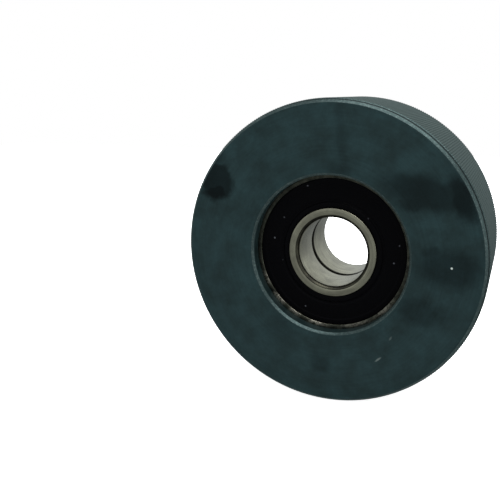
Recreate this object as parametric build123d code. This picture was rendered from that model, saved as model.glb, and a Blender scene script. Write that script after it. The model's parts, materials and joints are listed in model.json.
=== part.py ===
from build123d import *
import math
import os

# Flat idler for a belt tensioner: a wide knurled steel pulley that turns on two sealed ball
# bearings, held in its bore between a front shoulder and an internal circlip.
# Millimetres. The pulley turns about Y, its front face looks along -Y and Z is up.
# The origin is on the axis, halfway along the pulley's width.

# Pulley
PULLEY_WIDTH = 34.0
TREAD_DIAMETER = 73.4
LAND_DIAMETER = 72.6
RIM_CHAMFER = 0.8
KNURL_START = 1.5
KNURL_BEVEL = 0.4
SHOULDER_DIAMETER = 38.0
SHOULDER_DEPTH = 3.2
SHOULDER_CHAMFER = 0.8
SEAT_CHAMFER = 1.0

# Bearings: 17 mm bore, 40 mm outside, 12 mm wide, sealed on both sides
BORE_DIAMETER = 17.0
BEARING_DIAMETER = 40.0
BEARING_WIDTH = 12.0
BORE_EDGE_RADIUS = 1.0
OUTER_EDGE_CHAMFER = 0.6
BALL_COUNT = 8
BALL_DIAMETER = 6.747
PITCH_DIAMETER = 28.5
RACEWAY_RADIUS = 3.52
OUTER_SHOULDER_DIAMETER = 33.2
INNER_SHOULDER_DIAMETER = 24.5
SEAL_LAND_DIAMETER = 21.6
SEAL_LAND_LENGTH = 1.9

# Seals: a rubber disc bonded to a steel core, snapped into the outer ring
SEAL_SEAT_DIAMETER = 36.0
SNAP_GROOVE_DIAMETER = 36.6
SEAL_SEAT_DEPTH = 1.6
SEAL_RECESS = 0.25
SEAL_THICKNESS = 1.25
SEAL_OUTER_GAP = 0.05
SEAL_LIP_GAP = 0.07
SEAL_DISH = 0.15
CORE_THICKNESS = 0.4
CORE_INNER_DIAMETER = 25.2
CORE_OUTER_DIAMETER = 34.0

# Cages: two pressed halves with a cup for each ball, riveted between the balls
CAGE_INNER_DIAMETER = 26.0
CAGE_OUTER_DIAMETER = 31.0
CAGE_SHEET = 0.6
POCKET_GAP = 0.08
RIVET_DIAMETER = 1.1
RIVET_HEAD_DIAMETER = 2.0
RIVET_HEAD_HEIGHT = 0.4

# Circlip for a 40 mm bore
CLIP_THICKNESS = 1.75
CLIP_GROOVE_WIDTH = 1.85
CLIP_GROOVE_DIAMETER = 42.5
CLIP_DIAMETER = 42.4
CLIP_WIDEST = 3.9
CLIP_NARROWEST = 2.6
LUG_DEPTH = 5.8
LUG_RADIUS = 2.4
LUG_ANGLE = 20.0
LUG_HOLE_DIAMETER = 2.5

FRONT = -PULLEY_WIDTH / 2
BACK = PULLEY_WIDTH / 2
BEARING_FACE = FRONT + SHOULDER_DEPTH
CLIP_FACE = BEARING_FACE + 2 * BEARING_WIDTH
BEARINGS = {
    "front": BEARING_FACE + BEARING_WIDTH / 2,
    "rear": BEARING_FACE + BEARING_WIDTH * 3 / 2,
}


def turned(*outline):
    """A solid of revolution about Y. The outline's points are (radius, place along Y)."""
    return revolve(make_face(Polyline(*outline, close=True)), Axis.Y)


def band(inner_diameter, outer_diameter, start, end):
    """A plain ring between two places along Y."""
    inner, outer = inner_diameter / 2, outer_diameter / 2
    return turned((inner, start), (outer, start), (outer, end), (inner, end))


def raceway():
    """The groove that the balls run in, as a torus about Y."""
    return Rot(90, 0, 0) * Torus(PITCH_DIAMETER / 2, RACEWAY_RADIUS)


def around_pitch_circle(first_angle):
    """Places on the pitch circle, one for each ball, from an angle in degrees."""
    for index in range(BALL_COUNT):
        angle = math.radians(first_angle + index * 360 / BALL_COUNT)
        radius = PITCH_DIAMETER / 2
        yield Pos(radius * math.cos(angle), 0, radius * math.sin(angle))


def pulley_body():
    """The knurled ring, with the bearing seat, its front shoulder and the circlip groove."""
    tread, land = TREAD_DIAMETER / 2, LAND_DIAMETER / 2
    face = land - RIM_CHAMFER
    shoulder, seat = SHOULDER_DIAMETER / 2, BEARING_DIAMETER / 2
    groove = CLIP_GROOVE_DIAMETER / 2
    groove_end = CLIP_FACE + CLIP_GROOVE_WIDTH
    knurl_edge = KNURL_START + KNURL_BEVEL
    return turned(
        (shoulder + SHOULDER_CHAMFER, FRONT),
        (face, FRONT),
        (land, FRONT + RIM_CHAMFER),
        (land, FRONT + KNURL_START),
        (tread, FRONT + knurl_edge),
        (tread, BACK - knurl_edge),
        (land, BACK - KNURL_START),
        (land, BACK - RIM_CHAMFER),
        (face, BACK),
        (seat + SEAT_CHAMFER, BACK),
        (seat, BACK - SEAT_CHAMFER),
        (seat, groove_end),
        (groove, groove_end),
        (groove, CLIP_FACE),
        (seat, CLIP_FACE),
        (seat, BEARING_FACE),
        (shoulder, BEARING_FACE),
        (shoulder, FRONT + SHOULDER_CHAMFER),
    )


def outer_ring():
    """A bearing's outer ring about the origin, with a raceway and two seal seats."""
    outer, shoulder = BEARING_DIAMETER / 2, OUTER_SHOULDER_DIAMETER / 2
    mouth, snap = SEAL_SEAT_DIAMETER / 2, SNAP_GROOVE_DIAMETER / 2
    end = BEARING_WIDTH / 2
    depth = SEAL_SEAT_DEPTH
    half = [
        (shoulder, end - depth),
        (mouth, end - depth),
        (snap, end - depth * 3 / 4),
        (snap, end - depth / 2),
        (mouth, end - depth / 4),
        (mouth, end),
        (outer - OUTER_EDGE_CHAMFER, end),
        (outer, end - OUTER_EDGE_CHAMFER),
    ]
    other_half = [(radius, -place) for radius, place in reversed(half)]
    return turned(*half, *other_half) - raceway()


def inner_ring():
    """A bearing's inner ring about the origin, with a land at each end for the seal's lip."""
    bore, shoulder = BORE_DIAMETER / 2, INNER_SHOULDER_DIAMETER / 2
    land, end = SEAL_LAND_DIAMETER / 2, BEARING_WIDTH / 2
    step = end - SEAL_LAND_LENGTH
    ring = turned(
        (bore, -end), (land, -end), (land, -step), (shoulder, -step),
        (shoulder, step), (land, step), (land, end), (bore, end),
    )
    bore_edges = [edge for edge in ring.edges().filter_by(GeomType.CIRCLE)
                  if math.isclose(edge.radius, bore, abs_tol=0.01)]
    return fillet(bore_edges, BORE_EDGE_RADIUS) - raceway()


def balls():
    """One ball at each place on the pitch circle."""
    ball_radius = BALL_DIAMETER / 2
    return Compound(children=[place * Sphere(ball_radius) for place in around_pitch_circle(0)])


def cage_half():
    """The half of a cage that lies towards +Y: a flat ring with a cup over each ball."""
    pocket = BALL_DIAMETER / 2 + POCKET_GAP
    cup = pocket + CAGE_SHEET
    half = band(CAGE_INNER_DIAMETER, CAGE_OUTER_DIAMETER, 0, CAGE_SHEET)
    blank = band(CAGE_INNER_DIAMETER, CAGE_OUTER_DIAMETER, 0, cup)
    for place in around_pitch_circle(0):
        half += blank & (place * Sphere(cup))
    for place in around_pitch_circle(0):
        half -= place * Sphere(pocket)
    for place in around_pitch_circle(180 / BALL_COUNT):
        half -= place * Rot(90, 0, 0) * Cylinder(RIVET_DIAMETER / 2, 4 * CAGE_SHEET)
    return half


def rivets():
    """The rivets that close a cage, each with a head at both ends."""
    head = CAGE_SHEET + RIVET_HEAD_HEIGHT
    shank_radius, head_radius = RIVET_DIAMETER / 2, RIVET_HEAD_DIAMETER / 2
    rivet = turned(
        (0, -head), (head_radius * 0.7, -head), (head_radius, -CAGE_SHEET),
        (shank_radius, -CAGE_SHEET), (shank_radius, CAGE_SHEET),
        (head_radius, CAGE_SHEET), (head_radius * 0.7, head), (0, head),
    )
    return Compound(children=[place * rivet for place in around_pitch_circle(180 / BALL_COUNT)])


def seal_levels():
    """Places along Y of a seal's outside, its core's outside and its inside."""
    outside = BEARING_WIDTH / 2 - SEAL_RECESS
    inside = outside - SEAL_THICKNESS
    return outside, inside + CORE_THICKNESS, inside


def seal():
    """The rubber of the seal at a bearing's +Y end, with a pocket inside for its core."""
    outside, core_face, inside = seal_levels()
    lip = SEAL_LAND_DIAMETER / 2 + SEAL_LIP_GAP
    edge = SEAL_SEAT_DIAMETER / 2 - SEAL_OUTER_GAP
    bead = SNAP_GROOVE_DIAMETER / 2 - SEAL_OUTER_GAP
    core_inner, core_outer = CORE_INNER_DIAMETER / 2, CORE_OUTER_DIAMETER / 2
    seat_middle = BEARING_WIDTH / 2 - SEAL_SEAT_DEPTH * 5 / 8
    return turned(
        (lip, outside),
        (core_inner - SEAL_DISH, outside),
        (core_inner, outside - SEAL_DISH),
        (core_outer, outside - SEAL_DISH),
        (core_outer + SEAL_DISH, outside),
        (edge, outside),
        (edge, seat_middle + SEAL_RECESS),
        (bead, seat_middle),
        (edge, seat_middle - SEAL_RECESS),
        (edge, inside),
        (core_outer, inside),
        (core_outer, core_face),
        (core_inner, core_face),
        (core_inner, inside),
        (lip, inside),
    )


def seal_core():
    """The steel disc bonded inside the seal at a bearing's +Y end."""
    _, core_face, inside = seal_levels()
    return band(CORE_INNER_DIAMETER, CORE_OUTER_DIAMETER, inside, core_face)


def circlip():
    """The internal circlip, narrower towards its two lugs, with its gap at the top."""
    outer = CLIP_DIAMETER / 2
    inner = outer - (CLIP_WIDEST + CLIP_NARROWEST) / 2
    offset = (CLIP_WIDEST - CLIP_NARROWEST) / 2
    lug_place = outer - LUG_DEPTH + LUG_RADIUS
    gap_angle = math.radians(LUG_ANGLE) - math.asin(LUG_RADIUS / lug_place)
    gap_half = 2 * outer * math.tan(gap_angle)
    gap = make_face(Polyline((0, 0), (gap_half, 2 * outer), (-gap_half, 2 * outer), close=True))
    outline = Circle(outer) - Pos(0, offset) * Circle(inner) - gap
    for angle in (-LUG_ANGLE, LUG_ANGLE):
        neck_length = outer - lug_place - CLIP_NARROWEST / 4
        neck = Pos(0, lug_place + neck_length / 2) * Rectangle(2 * LUG_RADIUS, neck_length)
        lug = Pos(0, lug_place) * Circle(LUG_RADIUS) + neck
        outline += Rot(0, 0, angle) * lug
        outline -= Rot(0, 0, angle) * Pos(0, lug_place) * Circle(LUG_HOLE_DIAMETER / 2)
    return Pos(0, CLIP_FACE + CLIP_THICKNESS, 0) * extrude(Plane.XZ * outline, CLIP_THICKNESS)


def mirrored(shape):
    """The same shape for the -Y end."""
    return mirror(shape, Plane.XZ)


def bearing_parts(name):
    """Every piece of one bearing about the origin, by node name."""
    return {
        f"{name}_bearing_outer_ring": outer_ring(),
        f"{name}_bearing_inner_ring": inner_ring(),
        f"{name}_bearing_balls": balls(),
        f"{name}_bearing_cage_front_half": mirrored(cage_half()),
        f"{name}_bearing_cage_rear_half": cage_half(),
        f"{name}_bearing_cage_rivets": rivets(),
        f"{name}_bearing_front_seal": mirrored(seal()),
        f"{name}_bearing_front_seal_core": mirrored(seal_core()),
        f"{name}_bearing_rear_seal": seal(),
        f"{name}_bearing_rear_seal_core": seal_core(),
    }


def save(node, shape):
    """Writes one node's STEP file, with a group of loose solids as one compound."""
    solids = shape.solids()
    whole = solids[0] if len(solids) == 1 else Compound(children=solids)
    export_step(whole, f"parts/{node}.step")


def main():
    """Builds and saves every node."""
    os.makedirs("parts", exist_ok=True)
    save("pulley_body", pulley_body())
    save("retaining_circlip", circlip())
    for name, middle in BEARINGS.items():
        for node, shape in bearing_parts(name).items():
            save(node, Pos(0, middle, 0) * shape)


main()
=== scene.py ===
"""Looks of a belt tensioner's idler: a blackened, knurled steel pulley on two sealed ball bearings.

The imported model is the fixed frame. Places, widths and outer sizes come from its boxes and its
bore mount, in metres. The sizes of the steps inside are named values in millimetres. The pulley
turns about Y, with its front face towards -Y.
"""

import json
import logging
import math
from contextlib import contextmanager
from dataclasses import dataclass
from enum import Enum
from functools import cache, cached_property, partial
from typing import Callable, Iterator, Sequence

import bmesh
import bpy
from mathutils import Matrix, Vector


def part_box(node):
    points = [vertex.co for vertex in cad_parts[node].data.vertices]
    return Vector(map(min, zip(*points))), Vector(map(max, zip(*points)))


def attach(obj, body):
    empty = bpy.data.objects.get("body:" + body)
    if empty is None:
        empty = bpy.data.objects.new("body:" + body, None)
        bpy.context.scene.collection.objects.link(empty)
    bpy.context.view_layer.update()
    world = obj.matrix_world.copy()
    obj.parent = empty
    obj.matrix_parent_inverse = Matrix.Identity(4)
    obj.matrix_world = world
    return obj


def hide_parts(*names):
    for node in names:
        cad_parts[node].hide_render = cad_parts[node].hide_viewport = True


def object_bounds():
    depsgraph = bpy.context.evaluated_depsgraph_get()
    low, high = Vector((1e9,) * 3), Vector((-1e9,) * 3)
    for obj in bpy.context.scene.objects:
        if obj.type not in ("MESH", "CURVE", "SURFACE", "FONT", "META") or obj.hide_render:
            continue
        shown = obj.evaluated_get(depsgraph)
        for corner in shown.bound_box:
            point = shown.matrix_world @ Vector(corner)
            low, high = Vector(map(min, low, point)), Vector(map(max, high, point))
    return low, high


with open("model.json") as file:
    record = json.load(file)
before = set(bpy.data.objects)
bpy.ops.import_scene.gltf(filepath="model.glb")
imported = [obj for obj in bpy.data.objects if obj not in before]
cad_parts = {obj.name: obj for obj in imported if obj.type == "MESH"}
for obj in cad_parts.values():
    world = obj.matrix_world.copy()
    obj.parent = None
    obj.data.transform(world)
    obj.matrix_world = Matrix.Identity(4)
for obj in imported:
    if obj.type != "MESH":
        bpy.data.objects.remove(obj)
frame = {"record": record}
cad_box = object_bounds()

MM = 0.001
MERGE_GAP = 0.0005 * MM  # points closer than this are one point
CORNER_REACH = 0.002 * MM  # a point closer than this to a corner is that corner
ROUND_THE_AXIS = 0.3  # a face whose normal leans less than this along Y runs round the axis
LOG = logging.getLogger("idler")

Colour = tuple[float, float, float, float]
Point = tuple[float, float, float]
Socket = bpy.types.NodeSocket
Adder = Callable[..., bpy.types.Node]


# ---------------------------------------------------------------- workbench


class Part(Enum):
    """What a selection in edit mode is made of."""

    POINTS = "VERT"
    FACES = "FACE"


@dataclass(frozen=True)
class Corner:
    """One corner of a turned piece's outline.

    Args:
        radius: Distance from the turning axis, in millimetres.
        place: Place along the turning axis, in millimetres.
        rounding: How far from the corner its rounding starts, in millimetres.
    """

    radius: float
    place: float
    rounding: float = 0.0


def pick_only(piece: bpy.types.Object) -> None:
    """Makes one object the selected and active one.

    Args:
        piece: The object.
    """
    bpy.ops.object.select_all(action="DESELECT")
    piece.select_set(True)
    bpy.context.view_layer.objects.active = piece


@contextmanager
def editing(piece: bpy.types.Object) -> Iterator[None]:
    """Edit mode on one object, picking points at first, for as long as the block runs.

    Args:
        piece: The object.
    """
    pick_only(piece)
    bpy.ops.object.mode_set(mode="EDIT")
    bpy.ops.mesh.select_mode(type=Part.POINTS.value)
    try:
        yield
    finally:
        bpy.ops.object.mode_set(mode="OBJECT")


def choose(piece: bpy.types.Object, part: Part, test: Callable[..., bool]) -> int:
    """Selects the points or faces that pass a test, in edit mode.

    Args:
        piece: The object in edit mode.
        part: What to select.
        test: Says yes or no to one bmesh element.

    Returns:
        How many were selected.
    """
    bpy.ops.mesh.select_mode(type=part.value)
    bpy.ops.mesh.select_all(action="DESELECT")
    mesh = bmesh.from_edit_mesh(piece.data)
    elements = mesh.verts if part is Part.POINTS else mesh.faces
    chosen = [element for element in elements if test(element)]
    for element in chosen:
        element.select_set(True)
    mesh.select_flush_mode()
    bmesh.update_edit_mesh(piece.data)
    return len(chosen)


def clean() -> None:
    """Merges doubled points and turns all faces outwards, in edit mode."""
    bpy.ops.mesh.select_mode(type=Part.POINTS.value)
    bpy.ops.mesh.select_all(action="SELECT")
    bpy.ops.mesh.remove_doubles(threshold=MERGE_GAP)
    bpy.ops.mesh.normals_make_consistent(inside=False)


def start_point(name: str) -> bpy.types.Object:
    """Makes an object whose mesh is one selected point at the origin, as a start for drawing.

    Args:
        name: The object's name.

    Returns:
        The object.
    """
    bpy.ops.object.select_all(action="DESELECT")
    bpy.ops.mesh.primitive_plane_add(size=MM)
    piece = bpy.context.object
    piece.name = piece.data.name = name
    with editing(piece):
        bpy.ops.mesh.select_all(action="SELECT")
        bpy.ops.mesh.merge(type="CENTER")
    return piece


def draw_loop(points: Sequence[Point]) -> None:
    """Draws a closed line of edges in edit mode, from the one selected point at the origin.

    Args:
        points: The line's corners, in metres.
    """
    bpy.ops.transform.translate(value=points[0])
    for here, there in zip(points, [*points[1:], points[0]]):
        step = Vector(there) - Vector(here)
        bpy.ops.mesh.extrude_vertices_move(TRANSFORM_OT_translate={"value": step})
    bpy.ops.mesh.select_all(action="SELECT")
    bpy.ops.mesh.remove_doubles(threshold=MERGE_GAP)


def turned(name: str, outline: Sequence[Corner], steps: int,
           segments: int = 3) -> bpy.types.Object:
    """Turns a closed outline once round the Y axis, as a quarter turn and three copies of it.

    Args:
        name: The new object's name.
        outline: The outline's corners, in order.
        steps: How many columns the turn has, a multiple of four.
        segments: How many facets a rounded corner gets.

    Returns:
        The turned object, smooth except at its sharp edges.
    """
    quarter = math.tau / 4
    piece = start_point(name)
    with editing(piece):
        draw_loop([(corner.radius * MM, corner.place * MM, 0.0) for corner in outline])
        for corner in outline:
            if corner.rounding:
                spot = Vector((corner.radius * MM, corner.place * MM, 0.0))
                choose(piece, Part.POINTS, lambda point: (point.co - spot).length < CORNER_REACH)
                bpy.ops.mesh.bevel(offset=corner.rounding * MM, segments=segments,
                                   affect="VERTICES")
        bpy.ops.mesh.select_all(action="SELECT")
        bpy.ops.mesh.spin(steps=steps // 4, angle=quarter, center=(0, 0, 0), axis=(0, 1, 0))
    copies = [moved_copy(piece, name, Matrix.Rotation(turn * quarter, 4, "Y"))
              for turn in (1, 2, 3)]
    piece = joined(name, [piece, *copies])
    with editing(piece):
        clean()
    smooth(piece)
    return piece


def smooth(piece: bpy.types.Object, degrees: float = 34.0) -> None:
    """Shades a piece smooth, except where its faces meet at a larger angle."""
    pick_only(piece)
    bpy.ops.object.shade_smooth_by_angle(angle=math.radians(degrees))


def polar(radius: float, degrees: float) -> tuple[float, float]:
    """A point in a plane, by its distance and angle from the middle."""
    angle = math.radians(degrees)
    return radius * math.cos(angle), radius * math.sin(angle)


def arc(centre: tuple[float, float], radius: float, start: float, end: float,
        count: int) -> list[tuple[float, float]]:
    """Points along an arc in a plane.

    Args:
        centre: The arc's centre.
        radius: The arc's radius, in the same unit.
        start: The first point's angle, in degrees.
        end: The last point's angle, in degrees.
        count: How many points to make.

    Returns:
        The points, first to last.
    """
    points = [polar(radius, start + (end - start) * k / (count - 1)) for k in range(count)]
    return [(centre[0] + x, centre[1] + y) for x, y in points]


def apply_all(piece: bpy.types.Object) -> None:
    """Applies every modifier of a piece, in order.

    Args:
        piece: The piece.
    """
    pick_only(piece)
    for name in [modifier.name for modifier in piece.modifiers]:
        bpy.ops.object.modifier_apply(modifier=name)


def dress(piece: bpy.types.Object, *finishes: bpy.types.Material) -> None:
    """Gives a piece its materials.

    Args:
        piece: The piece.
        finishes: Its materials, in the order of their slots.
    """
    piece.data.materials.clear()
    for finish in finishes:
        piece.data.materials.append(finish)


def paint(piece: bpy.types.Object, slot: int, test: Callable[..., bool]) -> None:
    """Puts the faces that pass a test on one of the piece's material slots.

    Args:
        piece: The piece.
        slot: The slot's number, from 0.
        test: Says yes or no to one face.
    """
    with editing(piece):
        if choose(piece, Part.FACES, test):
            piece.active_material_index = slot
            bpy.ops.object.material_slot_assign()


def moved_copy(piece: bpy.types.Object, name: str, change: Matrix) -> bpy.types.Object:
    """Copies a piece and moves the copy's mesh.

    Args:
        piece: The piece.
        name: The copy's name.
        change: The move.

    Returns:
        The copy, which has its own mesh.
    """
    copy = piece.copy()
    copy.data = piece.data.copy()
    copy.name = copy.data.name = name
    bpy.context.scene.collection.objects.link(copy)
    copy.data.transform(change)
    if change.determinant() < 0:
        copy.data.flip_normals()
    return copy


def joined(name: str, pieces: Sequence[bpy.types.Object]) -> bpy.types.Object:
    """Joins several objects into the first of them.

    Args:
        name: The joined object's name.
        pieces: The objects.

    Returns:
        The joined object.
    """
    bpy.ops.object.select_all(action="DESELECT")
    for piece in pieces:
        piece.select_set(True)
    bpy.context.view_layer.objects.active = pieces[0]
    bpy.ops.object.join()
    pieces[0].name = pieces[0].data.name = name
    return pieces[0]


def settle(piece: bpy.types.Object, body: str, slot: str, *nodes: str) -> None:
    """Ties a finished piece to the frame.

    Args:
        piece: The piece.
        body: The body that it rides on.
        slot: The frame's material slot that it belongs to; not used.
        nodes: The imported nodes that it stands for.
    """
    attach(piece, body)
    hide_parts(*nodes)
    LOG.info("%s rides on %s: %d faces", piece.name, body, len(piece.data.polygons))


def radius_of(point: Vector) -> float:
    """A point's distance from the turning axis, in millimetres."""
    return math.hypot(point.x, point.z) / MM


# ---------------------------------------------------------------- finishes


MIX_A, MIX_B, MIX_OUT = 6, 7, 2  # the colour sockets of a Mix node
SKIN_SPECULAR = 0.1  # an oxide skin reflects little by itself
RAGGED_MM = 4.0  # size of the noise that makes a patch's edge ragged
PATCH_REACH_MM = 4.0  # how far a patch on a face goes into the piece
NOISE_SPAN = 4.0  # noise mostly stays within a quarter of its middle
LINE_FADE = (0.04, 0.0, 0.03)  # how fast the tool lines change on their way round


def linear(code: str) -> Colour:
    """An sRGB hex colour as opaque linear light."""
    channels = [int(code[i:i + 2], 16) / 255 for i in (1, 3, 5)]
    return (*[c / 12.92 if c <= 0.04045 else ((c + 0.055) / 1.055) ** 2.4 for c in channels],
            1.0)


def per_metre(size_mm: float) -> float:
    """The texture scale at which one feature has a given size in millimetres."""
    return 1 / (size_mm * MM)


def fill(tree: bpy.types.NodeTree, node: bpy.types.Node, inputs: dict) -> None:
    """Fills a node's inputs.

    Args:
        tree: The node's tree.
        node: The node.
        inputs: Values, or sockets to link from, by input name or number.
    """
    for name, value in inputs.items():
        if isinstance(value, Socket):
            tree.links.new(value, node.inputs[name])
        else:
            node.inputs[name].default_value = value


def add_node(tree: bpy.types.NodeTree, kind: str, inputs: dict | None = None,
             **settings: object) -> bpy.types.Node:
    """Adds a node, sets its properties, and fills its inputs with values or links.

    Args:
        tree: The node tree that gets the node.
        kind: The node's type name, without its ShaderNode prefix.
        inputs: Values, or sockets to link from, by input name or number.
        settings: The node's properties.

    Returns:
        The new node.
    """
    node = tree.nodes.new("ShaderNode" + kind)
    for name, value in settings.items():
        setattr(node, name, value)
    fill(tree, node, inputs or {})
    return node


@dataclass(frozen=True)
class Patch:
    """A patch of another shade on one of the faces that lie across the axis.

    Args:
        across: Its middle along X, in millimetres.
        up: Its middle along Z, in millimetres.
        half_width: Half its size along X before it leans, in millimetres.
        half_height: Half its size along Z before it leans, in millimetres.
        depth: How strong it is, from 0 to 1.
        blur: How wide its edge is, as a share of its half size.
        lean: How far its top leans towards -X, in degrees.
    """

    across: float
    up: float
    half_width: float
    half_height: float
    depth: float
    blur: float = 0.35
    lean: float = 0.0


def patch_mask(add: Adder, place: Socket, faces: Sequence[tuple[float, Sequence[Patch]]],
               wander_mm: float) -> Socket:
    """How strongly any of some patches shows, from 0 to 1.

    Args:
        add: Adds a node to the material's tree.
        place: The object coordinates.
        faces: Each face's place along Y, in metres, with the patches on it.
        wander_mm: How far the patches' edges wander, in millimetres.

    Returns:
        The mask's socket.
    """
    ragged = add("TexNoise", {"Vector": place, "Scale": per_metre(RAGGED_MM),
                              "Detail": 6.0, "Roughness": 0.6})
    centred = add("VectorMath", {0: ragged.outputs["Color"], 1: (0.5, 0.5, 0.5)},
                  operation="SUBTRACT")
    wandered = add("VectorMath", {0: centred.outputs["Vector"],
                                  1: (wander_mm * MM * NOISE_SPAN,) * 3, 2: place},
                   operation="MULTIPLY_ADD")
    mask: Socket | None = None
    for level, patch in [(level, patch) for level, patches in faces for patch in patches]:
        local = add("Mapping", {"Vector": wandered.outputs["Vector"],
                                "Location": (patch.across * MM, level, patch.up * MM),
                                "Rotation": (0, -math.radians(patch.lean), 0),
                                "Scale": (patch.half_width * MM, PATCH_REACH_MM * MM,
                                          patch.half_height * MM)}, vector_type="TEXTURE")
        away = add("VectorMath", {0: local.outputs["Vector"]}, operation="LENGTH")
        shown = add("MapRange", {"Value": away.outputs["Value"], "From Min": 1 - patch.blur,
                                 "From Max": 1 + patch.blur, "To Min": patch.depth,
                                 "To Max": 0.0}, interpolation_type="SMOOTHSTEP")
        mask = shown.outputs["Result"] if mask is None else add(
            "Math", {0: mask, 1: shown.outputs["Result"]},
            operation="MAXIMUM").outputs["Value"]
    return mask


def lathe_lines(add: Adder, place: Socket, spacing_mm: float) -> Socket:
    """Fine lines round the axis, on faces and bores alike, which fade in and out on their way.

    Args:
        add: Adds a node to the material's tree.
        place: The object coordinates.
        spacing_mm: How wide a line is, in millimetres.

    Returns:
        The lines' height socket, from 0 to 1.
    """
    flat = add("VectorMath", {0: place, 1: (1, 0, 1)}, operation="MULTIPLY")
    radius = add("VectorMath", {0: flat.outputs["Vector"]}, operation="LENGTH")
    fading = add("VectorMath", {0: place, 1: LINE_FADE}, operation="DOT_PRODUCT")
    along = add("SeparateXYZ", {"Vector": place})
    spot = add("CombineXYZ", {"X": radius.outputs["Value"], "Y": along.outputs["Y"],
                              "Z": fading.outputs["Value"]})
    return add("TexNoise", {"Vector": spot.outputs["Vector"], "Scale": per_metre(spacing_mm),
                            "Detail": 2.0, "Roughness": 0.6}).outputs["Fac"]


def blotched(add: Adder, place: Socket, size_mm: float, grit: tuple[float, float],
             span: tuple[float, float], shades: tuple[str, str]) -> tuple[Socket, Socket]:
    """Two shades in cloudy blotches.

    Args:
        add: Adds a node to the material's tree.
        place: The object coordinates.
        size_mm: Size of a blotch, in millimetres.
        grit: The noise's detail and roughness.
        span: The noise levels at which the second shade begins and is full.
        shades: The two shades, as sRGB hex colours.

    Returns:
        The colour's socket and the noise's.
    """
    noise = add("TexNoise", {"Vector": place, "Scale": per_metre(size_mm), "Detail": grit[0],
                             "Roughness": grit[1]}).outputs["Fac"]
    shown = add("MapRange", {"Value": noise, "From Min": span[0], "From Max": span[1]})
    colour = add("Mix", {"Factor": shown.outputs["Result"], MIX_A: linear(shades[0]),
                         MIX_B: linear(shades[1])}, data_type="RGBA")
    return colour.outputs[MIX_OUT], noise


@dataclass(frozen=True)
class Finish:
    """One finish of the idler, which becomes one material.

    Args:
        title: The material's name.
    """

    title: str

    def material(self) -> bpy.types.Material:
        """Builds the material.

        Returns:
            The material.
        """
        material = bpy.data.materials.new(self.title)
        material.use_nodes = True
        tree = material.node_tree
        add = partial(add_node, tree)
        place = add("TexCoord").outputs["Object"]
        fill(tree, tree.nodes["Principled BSDF"], self.surface(add, place))
        return material

    def surface(self, add: Adder, place: Socket) -> dict:
        """Adds the finish's nodes.

        Args:
            add: Adds a node to the material's tree.
            place: The object coordinates.

        Returns:
            The shader's inputs: values, or sockets to link from, by name.
        """
        raise NotImplementedError


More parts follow.
